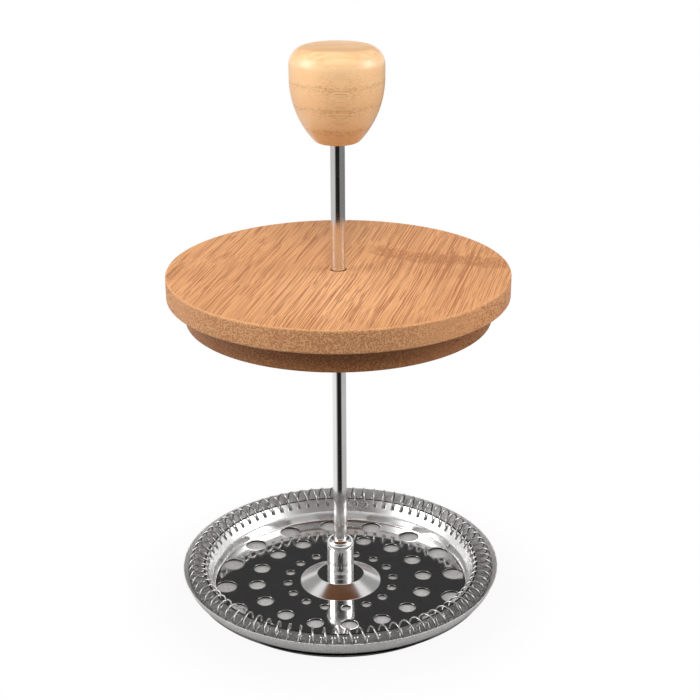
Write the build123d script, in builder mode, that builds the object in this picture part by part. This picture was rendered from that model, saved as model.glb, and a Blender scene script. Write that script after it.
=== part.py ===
"""Lid and plunger of a french press: bamboo lid and knob, steel rod and a filter stack with a sewn spring."""

import os
from math import acos, atan2, ceil, cos, degrees, pi, radians, sin, sqrt

from build123d import *

# Driving dimensions, in millimetres. Z is up and the part stands on its cross plate at Z = 0.

# Bamboo lid
lid_diameter = 104.0
lid_thickness = 7.15
plug_diameter = 93.0
plug_drop = 7.6
plug_seat_depth = 1.5
glue_gap = 0.05
wood_edge_break = 0.5
lid_parked_height = 76.85

# Rod and collar
rod_diameter = 4.3
rod_exposed_length = 130.8
rod_running_gap = 0.3
thread_diameter = 4.0
thread_gap = 0.05
thread_end_gap = 0.3
press_gap = 0.02
collar_diameter = 8.6
collar_height = 11.4
collar_bead_diameter = 9.0
collar_bead_height = 2.7
collar_bead_round = 1.2
collar_bead_foot_round = 0.5
collar_groove_depth = 0.5
collar_groove_height = 0.5
washer_height = 1.7
washer_edge_break = 0.3

# Knob and its threaded insert
knob_diameter = 27.8
knob_foot_diameter = 12.6
knob_side_height = 18.8
knob_crown_height = 9.2
knob_crown_rise = 0.5
knob_top_round = 5.2
knob_foot_round = 1.6
insert_diameter = 7.0
insert_length = 11.0
insert_flange_diameter = 9.0
insert_flange_height = 1.0

# Sheets of the filter stack, with a little slack between the mesh and the plate above it
plate_thickness = 0.6
mesh_thickness = 0.3
cross_plate_thickness = 0.5
mesh_slack = 0.2

# Mesh dish
filter_diameter = 102.0
filter_depth = 8.9
skirt_height = 3.4
skirt_run = 1.4
skirt_bend = 5.0
mesh_bend = 1.2
mesh_foot_margin = 1.2
mesh_hub_gap = 0.6

# Coil spring
coil_count = 80
coil_radius = 3.1
wire_diameter = 0.55
wire_sides = 6
coil_skirt_gap = 1.2
coil_break = 0.5
coil_break_angle = 90.0
coil_lip_overhang = 1.75
coil_lip_drop = 0.45

# Spiral plate
wall_height = 3.4
wall_run = 0.1
wall_bend = 0.8
flare_rise = 4.25
flare_run = 2.85
flare_bend = 2.0
dome_top_diameter = 14.9
dome_run = 5.55
dome_rise = 2.7
dome_bend = 2.5
hole_count = 16
hole_start_angle = 6.0
inner_hole_diameter = 3.1
middle_hole_diameter = 5.45
outer_hole_diameter = 6.9
inner_hole_margin = 4.3
outer_hole_margin = 4.05
window_gap = 0.35

# Cross plate and its hub nut
cross_rim_length = 5.9
cross_nest_gap = 0.1
cross_arm_width = 8.0
cross_centre_diameter = 26.0
cross_ring_width = 5.0
cross_corner_round = 2.0
hub_diameter = 10.0
hub_spigot_diameter = 7.0

# Levels that follow from the stack
cross_top = cross_plate_thickness
mesh_floor = cross_top + mesh_thickness / 2
mesh_top = cross_top + mesh_thickness
plate_floor = mesh_top + mesh_slack + plate_thickness / 2
dome_level = plate_floor + dome_rise
dome_top = dome_level + plate_thickness / 2
dome_underside = dome_level - plate_thickness / 2
collar_foot = dome_top + washer_height
collar_top = collar_foot + collar_height
lid_foot = collar_top + lid_parked_height
lid_underside = lid_foot + plug_drop
lid_top = lid_underside + lid_thickness
knob_foot = collar_top + rod_exposed_length
rim_top = cross_top + filter_depth
skirt_foot = rim_top - skirt_height

# Radii that follow from the filter's diameter, from the skirt inwards
rod_radius = rod_diameter / 2
thread_radius = thread_diameter / 2
skirt_radius = (filter_diameter - mesh_thickness) / 2
skirt_foot_radius = skirt_radius - skirt_run
coil_reach = coil_radius + wire_diameter / 2
coil_ring_radius = skirt_radius - mesh_thickness / 2 - coil_skirt_gap - coil_reach
lip_radius = coil_ring_radius - coil_lip_overhang
flare_radius = lip_radius - flare_run
flat_radius = flare_radius - wall_run
flare_level = plate_floor + wall_height
lip_level = flare_level + flare_rise
coil_level = lip_level - coil_lip_drop
dome_top_radius = dome_top_diameter / 2
dome_foot_radius = dome_top_radius + dome_run
mesh_foot_radius = flat_radius + mesh_foot_margin
lid_bore_radius = rod_radius + rod_running_gap
hub_radius = hub_diameter / 2

# Slope of the mesh dish, which the rim of the cross plate follows below it
mesh_slope = atan2(skirt_foot - mesh_floor, skirt_foot_radius - mesh_foot_radius)
nest_offset = (mesh_thickness + cross_plate_thickness) / 2 + cross_nest_gap
cross_floor = cross_plate_thickness / 2
cross_foot_shift = (nest_offset - (mesh_floor - cross_floor) * cos(mesh_slope)) / sin(mesh_slope)
cross_foot_radius = mesh_foot_radius + cross_foot_shift

# Where the wire passes the flare of the spiral plate, as an angle round the coil and a point on the flare
flare_lean = atan2(flare_run, flare_rise)
flare_distance = coil_lip_overhang * cos(flare_lean) + coil_lip_drop * sin(flare_lean)
window_angle = pi + acos(flare_distance / coil_radius) - flare_lean
window_radius = coil_ring_radius + coil_radius * cos(window_angle)
window_level = coil_level + coil_radius * sin(window_angle)
window_width = wire_diameter + 2 * window_gap
window_length = wire_diameter + plate_thickness + 2 * window_gap


def coil_point(azimuth, angle):
    """Point on the spring's ring: azimuth round the rod, angle round the coil from the outside upwards."""
    reach = coil_ring_radius + coil_radius * cos(angle)
    return Vector(reach * cos(azimuth), reach * sin(azimuth), coil_level + coil_radius * sin(angle))


def coil_tangent(azimuth, angle):
    """Direction of the wire where it winds downwards on the outside, coil_count turns to the ring."""
    reach = coil_ring_radius + coil_radius * cos(angle)
    inward = coil_count * coil_radius * sin(angle)
    rise = -coil_count * coil_radius * cos(angle)
    across = inward * cos(azimuth) - reach * sin(azimuth)
    along = inward * sin(azimuth) + reach * cos(azimuth)
    return Vector(across, along, rise).normalized()


def biarc(start, start_tangent, finish, finish_tangent):
    """Two tangent arcs that join two points with the given directions."""
    chord = finish - start
    turn = 2 * (1 - start_tangent.dot(finish_tangent))
    along = chord.dot(start_tangent + finish_tangent)
    reach = (sqrt(along**2 + turn * chord.dot(chord)) - along) / turn
    first = start + start_tangent * reach
    last = finish - finish_tangent * reach
    middle = (first + last) / 2
    return [
        TangentArc(start, middle, tangent=start_tangent, mode=Mode.PRIVATE),
        TangentArc(middle, finish, tangent=last - first, mode=Mode.PRIVATE),
    ]


def coil_path():
    """The spring's wire: half turns as biarcs, with a straight end one wire long at each side of the break."""
    half_turns = ceil(2 * (coil_count - coil_break))
    step = pi / coil_count
    stations = []
    for half_turn in range(half_turns + 1):
        azimuth = radians(coil_break_angle) + half_turn * step
        angle = -half_turn * pi
        stations.append((coil_point(azimuth, angle), coil_tangent(azimuth, angle)))
    first_point, first_tangent = stations[0]
    last_point, last_tangent = stations[-1]
    edges = [Line(first_point - first_tangent * wire_diameter, first_point, mode=Mode.PRIVATE)]
    for (start, start_tangent), (finish, finish_tangent) in zip(stations, stations[1:]):
        edges += biarc(start, start_tangent, finish, finish_tangent)
    edges.append(Line(last_point, last_point + last_tangent * wire_diameter, mode=Mode.PRIVATE))
    return edges


def least_coil_gap(edges):
    """Least gap between the wire and itself, measured on points more than half a turn apart."""
    shares = (0.0, 0.25, 0.5, 0.75)
    points = [edge @ share for edge in edges for share in shares]
    half_turn = 2 * len(shares)
    distances = []
    for index, point in enumerate(points):
        for other in points[index + half_turn : index + 4 * half_turn]:
            distances.append((point - other).length)
    return min(distances) - wire_diameter


# Bamboo lid: a disc with a shallow seat below, where the plug is glued in
with BuildPart() as lid_disc:
    with BuildSketch(Plane.XY.offset(lid_underside)):
        Circle(lid_diameter / 2)
    extrude(amount=lid_thickness)
    chamfer(lid_disc.edges().filter_by(GeomType.CIRCLE), wood_edge_break)
    with BuildSketch(Plane.XY.offset(lid_underside)):
        Circle(plug_diameter / 2 + glue_gap)
    extrude(amount=plug_seat_depth, mode=Mode.SUBTRACT)
    with BuildSketch(Plane.XY.offset(lid_underside)):
        Circle(lid_bore_radius)
    extrude(amount=lid_thickness, mode=Mode.SUBTRACT)

with BuildPart() as lid_plug:
    with BuildSketch(Plane.XY.offset(lid_foot)):
        Circle(plug_diameter / 2)
    extrude(amount=plug_drop + plug_seat_depth)
    chamfer(lid_plug.edges().group_by(Axis.Z)[0], wood_edge_break)
    with BuildSketch(Plane.XY.offset(lid_foot)):
        Circle(lid_bore_radius)
    extrude(amount=plug_drop + plug_seat_depth, mode=Mode.SUBTRACT)

# Steel rod with a thinner threaded length at each end
with BuildPart() as plunger_rod:
    with BuildSketch(Plane.XY.offset(dome_top)):
        Circle(rod_radius)
    extrude(amount=knob_foot - dome_top)
    with BuildSketch(Plane.XY.offset(thread_end_gap)):
        Circle(thread_radius)
    extrude(amount=knob_foot + insert_length - 2 * thread_end_gap)

# Stop collar: a barrel, a groove and a rounded bead, turned in one piece
with BuildPart() as rod_collar:
    bore_radius = rod_radius + press_gap
    bead_foot = collar_top - collar_bead_height
    groove_foot = bead_foot - collar_groove_height
    corner = (Align.MIN, Align.MIN)
    with BuildSketch(Plane.XZ) as collar_profile:
        with Locations((bore_radius, collar_foot)):
            Rectangle(collar_diameter / 2 - bore_radius, groove_foot - collar_foot, align=corner)
        with Locations((bore_radius, groove_foot)):
            groove_wall = collar_diameter / 2 - collar_groove_depth - bore_radius
            Rectangle(groove_wall, collar_groove_height, align=corner)
        with Locations((bore_radius, bead_foot)):
            Rectangle(collar_bead_diameter / 2 - bore_radius, collar_bead_height, align=corner)
        fillet(collar_profile.vertices().group_by(Axis.X)[-1].sort_by(Axis.Y)[-1], collar_bead_round)
        fillet(collar_profile.vertices().group_by(Axis.X)[-1].sort_by(Axis.Y)[0], collar_bead_foot_round)
    revolve(axis=Axis.Z)

with BuildPart() as collar_washer:
    with BuildSketch(Plane.XY.offset(dome_top)):
        Circle(collar_diameter / 2)
    extrude(amount=washer_height)
    chamfer(collar_washer.edges().filter_by(GeomType.CIRCLE), washer_edge_break)
    with BuildSketch(Plane.XY.offset(dome_top)):
        Circle(rod_radius + press_gap)
    extrude(amount=washer_height, mode=Mode.SUBTRACT)

# Knob: a turned bulb, widest below its rounded crown, bored from below for the insert
with BuildPart() as knob:
    knob_waist = knob_foot + knob_side_height
    knob_shoulder = knob_waist + knob_crown_height - knob_crown_rise
    knob_radius = knob_diameter / 2
    with BuildSketch(Plane.XZ) as knob_profile:
        with BuildLine():
            foot = Line((0, knob_foot), (knob_foot_diameter / 2, knob_foot))
            TangentArc((knob_radius, knob_waist), foot @ 1, tangent=(0, -1))
            edge = Line((knob_radius, knob_waist), (knob_radius, knob_shoulder))
            crown = (0, knob_shoulder + knob_crown_rise)
            RadiusArc(edge @ 1, crown, -(knob_radius**2 + knob_crown_rise**2) / (2 * knob_crown_rise))
            Line(crown, (0, knob_foot))
        make_face()
        fillet(knob_profile.vertices().sort_by_distance(edge @ 1)[0], knob_top_round)
        fillet(knob_profile.vertices().sort_by_distance(foot @ 1)[0], knob_foot_round)
    revolve(axis=Axis.Z)
    with BuildSketch(Plane.XY.offset(knob_foot)):
        Circle(insert_diameter / 2 + glue_gap)
    extrude(amount=insert_length + thread_end_gap, mode=Mode.SUBTRACT)
    with BuildSketch(Plane.XY.offset(knob_foot)):
        Circle(insert_flange_diameter / 2 + glue_gap)
    extrude(amount=insert_flange_height, mode=Mode.SUBTRACT)

with BuildPart() as knob_insert:
    with BuildSketch(Plane.XY.offset(knob_foot)):
        Circle(insert_diameter / 2)
    extrude(amount=insert_length)
    with BuildSketch(Plane.XY.offset(knob_foot)):
        Circle(insert_flange_diameter / 2)
    extrude(amount=insert_flange_height)
    with BuildSketch(Plane.XY.offset(knob_foot)):
        Circle(thread_radius + thread_gap)
    extrude(amount=insert_length, mode=Mode.SUBTRACT)

# Spiral plate: raised centre, floor with three rings of holes, upright wall, and a flare with a window a coil
with BuildPart() as spiral_plate:
    with BuildSketch(Plane.XZ):
        with BuildLine():
            FilletPolyline(
                (rod_radius, dome_level),
                (dome_top_radius, dome_level),
                (dome_foot_radius, plate_floor),
                (flat_radius, plate_floor),
                (flare_radius, flare_level),
                (lip_radius, lip_level),
                radius=(dome_bend, dome_bend, wall_bend, flare_bend),
            )
        trace(line_width=plate_thickness)
    revolve(axis=Axis.Z)
    inner_ring = dome_foot_radius + inner_hole_margin
    outer_ring = flat_radius - outer_hole_margin
    with BuildSketch(Plane.XY):
        with PolarLocations(inner_ring, hole_count, hole_start_angle):
            Circle(inner_hole_diameter / 2)
        with PolarLocations((inner_ring + outer_ring) / 2, hole_count, hole_start_angle):
            Circle(middle_hole_diameter / 2)
        with PolarLocations(outer_ring, hole_count, hole_start_angle):
            Circle(outer_hole_diameter / 2)
    extrude(amount=dome_level, mode=Mode.SUBTRACT)
    first_window = coil_break_angle - degrees(window_angle) / coil_count
    with PolarLocations(window_radius, coil_count, first_window):
        with Locations((0, 0, window_level)):
            window = (plate_thickness * 4, window_width, window_length)
            Box(*window, rotation=(0, degrees(flare_lean), 0), mode=Mode.SUBTRACT)

# Coil spring: one unbroken wire
spring_edges = coil_path()
with BuildPart() as coil_spring:
    with BuildSketch(Plane(origin=spring_edges[0] @ 0, z_dir=spring_edges[0] % 0)):
        RegularPolygon(wire_diameter / 2, wire_sides)
    sweep(path=Wire(spring_edges), clean=False)

# Mesh dish with a steeper skirt round the spring
with BuildPart() as filter_mesh:
    with BuildSketch(Plane.XZ):
        with BuildLine():
            FilletPolyline(
                (hub_radius + mesh_hub_gap, mesh_floor),
                (mesh_foot_radius, mesh_floor),
                (skirt_foot_radius, skirt_foot),
                (skirt_radius, rim_top),
                radius=(mesh_bend, skirt_bend),
            )
        trace(line_width=mesh_thickness)
    revolve(axis=Axis.Z)

# Cross plate: four open quarters between its arms, and a rim that backs the mesh
with BuildPart() as cross_plate:
    rim_radius = cross_foot_radius + cross_rim_length * cos(mesh_slope)
    rim_level = cross_floor + cross_rim_length * sin(mesh_slope)
    with BuildSketch(Plane.XZ):
        with BuildLine():
            FilletPolyline(
                (hub_spigot_diameter / 2 + press_gap, cross_floor),
                (cross_foot_radius, cross_floor),
                (rim_radius, rim_level),
                radius=(mesh_bend,),
            )
        trace(line_width=cross_plate_thickness)
    revolve(axis=Axis.Z)
    opening_radius = flat_radius - cross_ring_width
    with BuildSketch(Plane.XY) as quarters:
        Circle(opening_radius)
        Circle(cross_centre_diameter / 2, mode=Mode.SUBTRACT)
        Rectangle(2 * opening_radius, cross_arm_width, mode=Mode.SUBTRACT)
        Rectangle(cross_arm_width, 2 * opening_radius, mode=Mode.SUBTRACT)
        fillet(quarters.vertices(), cross_corner_round)
    extrude(amount=cross_plate_thickness, mode=Mode.SUBTRACT)

# Hub nut, riveted through the cross plate
with BuildPart() as hub_nut:
    with BuildSketch(Plane.XY.offset(cross_top)):
        Circle(hub_radius)
    extrude(amount=dome_underside - cross_top)
    with BuildSketch(Plane.XY):
        Circle(hub_spigot_diameter / 2)
    extrude(amount=cross_top)
    with BuildSketch(Plane.XY):
        Circle(thread_radius + thread_gap)
    extrude(amount=dome_underside, mode=Mode.SUBTRACT)

pieces = {
    "lid_disc": lid_disc,
    "lid_plug": lid_plug,
    "plunger_rod": plunger_rod,
    "rod_collar": rod_collar,
    "collar_washer": collar_washer,
    "knob": knob,
    "knob_insert": knob_insert,
    "spiral_plate": spiral_plate,
    "coil_spring": coil_spring,
    "filter_mesh": filter_mesh,
    "cross_plate": cross_plate,
    "hub_nut": hub_nut,
}

os.makedirs("parts", exist_ok=True)
for name, piece in pieces.items():
    piece.part.label = name
    export_step(piece.part, f"parts/{name}.step")

wire_length = sum(edge.length for edge in spring_edges)
wire_area = wire_sides / 8 * wire_diameter**2 * sin(2 * pi / wire_sides)
print(f"spring: least gap to itself {least_coil_gap(spring_edges):.2f} mm")
print(f"spring: volume {coil_spring.part.volume:.2f} mm3, section times length {wire_area * wire_length:.2f} mm3")
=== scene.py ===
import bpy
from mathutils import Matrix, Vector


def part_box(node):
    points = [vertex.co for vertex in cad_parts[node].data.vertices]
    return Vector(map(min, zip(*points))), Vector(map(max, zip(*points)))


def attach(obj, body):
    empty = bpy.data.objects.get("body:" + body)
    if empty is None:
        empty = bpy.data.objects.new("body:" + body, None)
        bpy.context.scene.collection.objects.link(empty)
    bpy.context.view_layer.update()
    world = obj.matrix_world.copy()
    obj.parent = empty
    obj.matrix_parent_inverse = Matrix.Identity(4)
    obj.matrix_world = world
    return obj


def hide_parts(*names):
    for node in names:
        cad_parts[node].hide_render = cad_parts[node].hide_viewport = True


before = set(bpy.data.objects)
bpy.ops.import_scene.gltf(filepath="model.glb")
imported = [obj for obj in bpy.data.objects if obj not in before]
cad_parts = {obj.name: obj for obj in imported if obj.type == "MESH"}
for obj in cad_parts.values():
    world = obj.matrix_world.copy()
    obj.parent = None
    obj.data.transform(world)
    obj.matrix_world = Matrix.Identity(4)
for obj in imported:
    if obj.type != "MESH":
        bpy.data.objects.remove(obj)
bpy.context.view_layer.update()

from functools import partial, reduce
from math import atan2, cos, hypot, pi, radians, sin, tan

import bmesh
import bpy
import numpy as np
from bpy.props import FloatProperty, FloatVectorProperty, IntProperty, PointerProperty
from mathutils import Matrix, Vector

bl_info = {
    "name": "French press plunger",
    "version": (1, 0, 0),
    "blender": (4, 5, 0),
    "location": "View3D > Sidebar > French press",
    "description": "Bamboo lid and knob on a steel rod with a spring-edged filter stack",
    "category": "Object",
}

# Shapes are worked out in millimetres and put into the meshes in metres.
MM = 0.001


def node_radius(node):
    """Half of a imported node's width along X, in millimetres."""
    low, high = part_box(node)
    return round((high[0] - low[0]) / MM, 3) / 2


def node_levels(node):
    """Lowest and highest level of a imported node, in millimetres."""
    return [round(corner[2] / MM, 3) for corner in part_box(node)]


# Sizes and colours


def amount(name, description, default, **kind):
    return FloatProperty(name=name, description=description, default=default, **kind)


def length(name, description, millimetres):
    """A length, given in millimetres and kept in metres."""
    return amount(name, description, millimetres * MM, min=0.0, precision=5, unit="LENGTH")


def colour(name, description, default):
    return FloatVectorProperty(
        name=name, description=description, default=default, size=3, min=0.0, max=1.0, subtype="COLOR"
    )


class PressWood(bpy.types.PropertyGroup):
    """Bamboo of the lid and the knob."""

    lid_edge: length("Lid edge round", "Rounding of the lid's edges", 0.55)
    knob_foot_width: length("Knob foot", "Width of the knob at its foot", 12.6)
    knob_side: length("Knob side height", "Height of the knob's curved side", 18.8)
    knob_crown_rise: length("Knob crown rise", "Rise of the knob's top face", 0.5)
    knob_top_round: length("Knob top round", "Rounding of the knob's shoulder", 5.2)
    fibre_bearing: amount(
        "Lid fibre bearing", "Direction of the lid's fibres, from the X axis", radians(77), subtype="ANGLE"
    )
    lid_colour: colour("Lid bamboo", "Base colour of the lid", (0.72, 0.335, 0.135))
    lid_pale: colour("Lid pale strips", "Colour of the lid's paler strips", (0.81, 0.41, 0.18))
    lid_dark: colour("Lid fibres", "Colour of the lid's dark fibres", (0.40, 0.15, 0.055))
    # Painted highlight: colour of the pale patch painted where light falls on the front of the lid's top.
    lid_highlight: colour("Lid clear patch", "Colour of the lid's palest patch", (0.92, 0.49, 0.23))
    # Painted shade: how dark the plug is painted, standing in for the shadow under the lid's overhang.
    lid_plug_shade: colour("Plug stain", "How use has darkened the plug", (0.57, 0.46, 0.34))
    lid_end: colour("Lid end grain", "Colour of the lid's end grain", (0.64, 0.35, 0.165))
    knob_colour: colour("Knob bamboo", "Base colour of the knob", (0.97, 0.57, 0.27))
    knob_pale: colour("Knob pale plies", "Colour of the knob's paler plies", (0.98, 0.64, 0.34))
    knob_dark: colour("Knob fibres", "Colour of the knob's dark fibres", (0.56, 0.235, 0.075))


class PressSteel(bpy.types.PropertyGroup):
    """Steel and brass of the plunger."""

    rod_colour: colour("Rod steel", "Colour of the rod and collar", (0.80, 0.79, 0.78))
    plate_colour: colour("Plate steel", "Colour of the spiral plate", (0.72, 0.715, 0.71))
    wire_colour: colour("Spring wire", "Colour of the spring", (0.44, 0.437, 0.434))
    mesh_colour: colour("Mesh wire", "Colour of the woven mesh", (0.80, 0.79, 0.78))
    brass_colour: colour("Brass", "Colour of the threaded insert", (0.72, 0.50, 0.20))
    wire_diameter: length("Wire diameter", "Thickness of the spring's wire", 0.55)
    coil_radius: length("Coil radius", "Radius of one coil to the wire's centre", 3.1)
    coil_count: IntProperty(name="Coils", description="Coils on a whole ring", default=80, min=20)
    mesh_pitch: length("Mesh pitch", "Distance between the mesh's wires", 0.42)
    hole_edge: length("Hole edge round", "Rounding of the plate's punched edges", 0.08)


class PressStage(bpy.types.PropertyGroup):
    """Camera, lamps and floor."""

    lens: amount("Lens", "Focal length on a 36 mm frame", 76.32, subtype="DISTANCE_CAMERA")
    distance: length("Camera distance", "From the camera to the point it looks at", 457.28)
    tilt: amount("Tilt", "Camera's tilt below level", 0.3773, subtype="ANGLE")
    roll: amount("Roll", "Camera's turn about its own axis", 0.0044, subtype="ANGLE")
    aim: FloatVectorProperty(
        name="Aim",
        description="Point that the camera looks at",
        default=(0.0034, 0.0, 0.082704),
        subtype="TRANSLATION",
        unit="LENGTH",
    )
    key_power: amount("Left lamp", "Power of the left soft lamp", 4.2, unit="POWER")
    fill_power: amount("Right lamp", "Power of the right soft lamp", 3.3, unit="POWER")
    top_power: amount("Top lamp", "Power of the soft lamp above", 6.6, unit="POWER")
    sky: amount("Sky", "Strength of the even light all round", 0.42)
    floor_colour: colour("Floor", "Colour of the floor", (0.38, 0.38, 0.38))


# Outlines and grids


def unit(vectors):
    """Each vector divided by its length."""
    return vectors / np.linalg.norm(vectors, axis=1, keepdims=True)


def rounded_outline(corners, closed=False, arc_steps=6, hold=0.05):
    """Outline through corners (across, up, rounding).

    A corner with a rounding becomes an arc tangent to both of its runs: it starts rounding * tan(turn / 2)
    before the corner and its centre lies one rounding to the inner side. A close point on each side, at the
    distance hold, keeps the flats flat under smooth shading. A corner with no rounding stays one point.
    """
    corners = np.array(corners, float)
    point, rounding = corners[:, :2], corners[:, 2]
    along_in = point - np.roll(point, 1, axis=0)
    along_out = np.roll(point, -1, axis=0) - point
    if not closed:
        along_in[0] = along_out[0]
        along_out[-1] = along_in[-1]
    along_in, along_out = unit(along_in), unit(along_out)
    cross = along_in[:, 0] * along_out[:, 1] - along_in[:, 1] * along_out[:, 0]
    turn = np.arctan2(cross, (along_in * along_out).sum(axis=1))
    reach = (rounding * np.tan(np.abs(turn) / 2))[:, None]
    inner = np.stack([-along_in[:, 1], along_in[:, 0]], axis=1) * np.sign(turn)[:, None]
    arm = -inner * rounding[:, None]
    centre = point - along_in * reach - arm
    angle = turn[:, None] * np.linspace(0, 1, arc_steps + 1)
    arc_x = arm[:, :1] * np.cos(angle) - arm[:, 1:] * np.sin(angle)
    arc_y = arm[:, :1] * np.sin(angle) + arm[:, 1:] * np.cos(angle)
    arc = centre[:, None, :] + np.stack([arc_x, arc_y], axis=-1)
    before = (point - along_in * (reach + hold))[:, None, :]
    after = (point + along_out * (reach + hold))[:, None, :]
    run = np.concatenate([before, arc, after], axis=1)
    keep = np.ones(run.shape[:2], bool)
    keep[rounding == 0] = False
    keep[rounding == 0, 1] = True
    return run[keep]


def sheet_sides(outline, half):
    """The two faces of a sheet about its middle line: middle + normal * half and middle - normal * half."""
    along = unit(np.gradient(outline, axis=0))
    normal = np.stack([-along[:, 1], along[:, 0]], axis=1)
    return outline + normal * half, outline - normal * half


def once_round(count):
    """Equal angles once round, without the last one, which is the first again."""
    return np.linspace(0, 2 * pi, count, endpoint=False)


def polar(turn, reach, level):
    """Grid of points (reach cos turn, reach sin turn, level), each array spread over the others."""
    return np.stack(np.broadcast_arrays(reach * np.cos(turn), reach * np.sin(turn), level), axis=-1)


def lathe(outline, segments, start=0.0):
    """Turned surface: point(u, v) = (r(v) cos u, r(v) sin u, z(v)), u once round and v along the outline."""
    return polar(start + once_round(segments), outline[:, :1], outline[:, 1:])


def turned(points, centres):
    """Copies of one grid turned about Z by each of the centres' angles."""
    angle = np.asarray(centres)[:, None, None]
    x, y, z = np.moveaxis(points[None], -1, 0)
    turned_x = x * np.cos(angle) - y * np.sin(angle)
    turned_y = x * np.sin(angle) + y * np.cos(angle)
    return np.stack(np.broadcast_arrays(turned_x, turned_y, z), axis=-1)


def patch(points, round_rows=False, round_columns=False, uv=None):
    """A grid of points with its quads, closed where round.

    A quad's corners are (i, j), (i, j + 1), (i + 1, j + 1) and (i + 1, j).
    """
    index = np.arange(points[..., 0].size).reshape(points.shape[:-1])
    if round_columns:
        index = np.concatenate([index, index[..., :1]], axis=-1)
    if round_rows:
        index = np.concatenate([index, index[..., :1, :]], axis=-2)
    corners = (index[..., :-1, :-1], index[..., :-1, 1:], index[..., 1:, 1:], index[..., 1:, :-1])
    flat_uv = None if uv is None else uv.reshape(-1, 2)
    return points.reshape(-1, 3), np.stack(corners, axis=-1).reshape(-1, 4), flat_uv


def make_piece(name, patches, body, slot, material, *nodes):
    """One object from patches that share their edges, riding on a body.

    Doubles are merged, faces turned outwards and shaded smooth; an open edge is an error.
    """
    points, quads, uvs = zip(*patches)
    starts = np.cumsum([0] + [len(part) for part in points])
    faces = np.concatenate([part + start for part, start in zip(quads, starts)])
    mesh = bpy.data.meshes.new(name)
    mesh.from_pydata((np.concatenate(points) * MM).tolist(), [], faces.tolist())
    if uvs[0] is not None:
        layer = mesh.uv_layers.new(name="weave")
        corner = np.empty(len(mesh.loops), np.int32)
        mesh.loops.foreach_get("vertex_index", corner)
        layer.data.foreach_set("uv", np.concatenate(uvs)[corner].astype(np.float32).ravel())
    shell = bmesh.new()
    shell.from_mesh(mesh)
    bmesh.ops.remove_doubles(shell, verts=shell.verts, dist=1e-6)
    bmesh.ops.recalc_face_normals(shell, faces=shell.faces)
    loose = [edge for edge in shell.edges if not edge.is_manifold]
    shell.to_mesh(mesh)
    shell.free()
    if loose:
        raise RuntimeError(f"{name} is not closed: {len(loose)} edges")
    mesh.polygons.foreach_set("use_smooth", np.ones(len(mesh.polygons), bool))
    mesh.materials.append(material)
    piece = bpy.data.objects.new(name, mesh)
    bpy.context.scene.collection.objects.link(piece)
    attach(piece, body)
    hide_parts(*nodes)


def turned_piece(name, corners, segments, body, slot, material, node, closed=True, **rounding):
    """A piece turned about Z from the corners of its outline, which may start and end on the axis."""
    outline = rounded_outline(corners, closed, **rounding)
    make_piece(name, [patch(lathe(outline, segments), closed, True)], body, slot, material, node)


# Shader nodes


def is_socket(value):
    return isinstance(value, bpy.types.NodeSocket)


def feed(node, inputs):
    """Link or set a node's inputs, by name or number, from sockets or values."""
    for key, value in inputs.items():
        if is_socket(value):
            node.id_data.links.new(value, node.inputs[key])
        else:
            node.inputs[key].default_value = value


def add(kind, inputs, tree=None, **settings):
    """A new node, in the given tree or in that of the sockets that feed it."""
    tree = tree or next(value.id_data for value in inputs.values() if is_socket(value))
    made = tree.nodes.new("ShaderNode" + kind)
    for name, value in settings.items():
        setattr(made, name, value)
    feed(made, inputs)
    return made


def calc(operation, *values, clamp=False):
    return add("Math", dict(enumerate(values)), operation=operation, use_clamp=clamp).outputs[0]


plus, minus, least = [partial(calc, operation) for operation in ("ADD", "SUBTRACT", "MINIMUM")]
unsigned, bearing_of = [partial(calc, operation) for operation in ("ABSOLUTE", "ARCTAN2")]
scaled = partial(calc, "MULTIPLY_ADD")  # value * factor + offset


def times(*values):
    return reduce(partial(calc, "MULTIPLY"), values)


def most(*values, clamp=False):
    """The largest of the values."""
    return reduce(partial(calc, "MAXIMUM", clamp=clamp), values)


def between(value, low, high, to_low=0.0, to_high=1.0, smooth=True):
    """The value carried from low..high to to_low..to_high and held there."""
    inputs = {"Value": value, "From Min": low, "From Max": high, "To Min": to_low, "To Max": to_high}
    kind = "SMOOTHSTEP" if smooth else "LINEAR"
    return add("MapRange", inputs, interpolation_type=kind).outputs["Result"]


def mix(share, first, second):
    """Colour from the first to the second, each a socket or its red, green and blue."""
    first, second = [one if is_socket(one) else (*one, 1.0) for one in (first, second)]
    return add("Mix", {0: share, 6: first, 7: second}, data_type="RGBA").outputs[2]


def vector_calc(operation, inputs, output="Vector"):
    return add("VectorMath", inputs, operation=operation).outputs[output]


def parts(vector):
    """The three numbers of a vector."""
    return add("SeparateXYZ", {0: vector}).outputs


def off_axis(vector):
    """Distance from the Z axis."""
    level = vector_calc("MULTIPLY", {0: vector, 1: (1.0, 1.0, 0.0)})
    return vector_calc("LENGTH", {0: level}, "Value")


def noise(vector, scale, detail=2.0, roughness=0.5, seed=0.0):
    """Noise stretched along the axes: noise(scale * vector + seed)."""
    placed = add("Mapping", {"Vector": vector, "Location": (seed,) * 3, "Scale": scale})
    inputs = {"Vector": placed.outputs[0], "Scale": 1.0, "Detail": detail, "Roughness": roughness}
    return add("TexNoise", inputs).outputs["Fac"]


def chance(number):
    """One random value for each whole number."""
    return add("TexWhiteNoise", {"W": number}, noise_dimensions="1D").outputs["Value"]


def use_group(group, inputs):
    return add("Group", inputs, node_tree=group).outputs


def bump(height, distance, strength=1.0):
    """Normal from a height; the distance is in millimetres."""
    return add("Bump", {"Height": height, "Distance": distance * MM, "Strength": strength}).outputs[0]


def coordinates(tree):
    return add("TexCoord", {}, tree).outputs


def object_millimetres(tree, turn=0.0):
    """Object coordinates in millimetres, turned about Z, and the object's own normal."""
    given = coordinates(tree)
    inputs = {"Vector": given["Object"], "Rotation": (0.0, 0.0, -turn), "Scale": (1 / MM,) * 3}
    return add("Mapping", inputs).outputs[0], given["Normal"]


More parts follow.
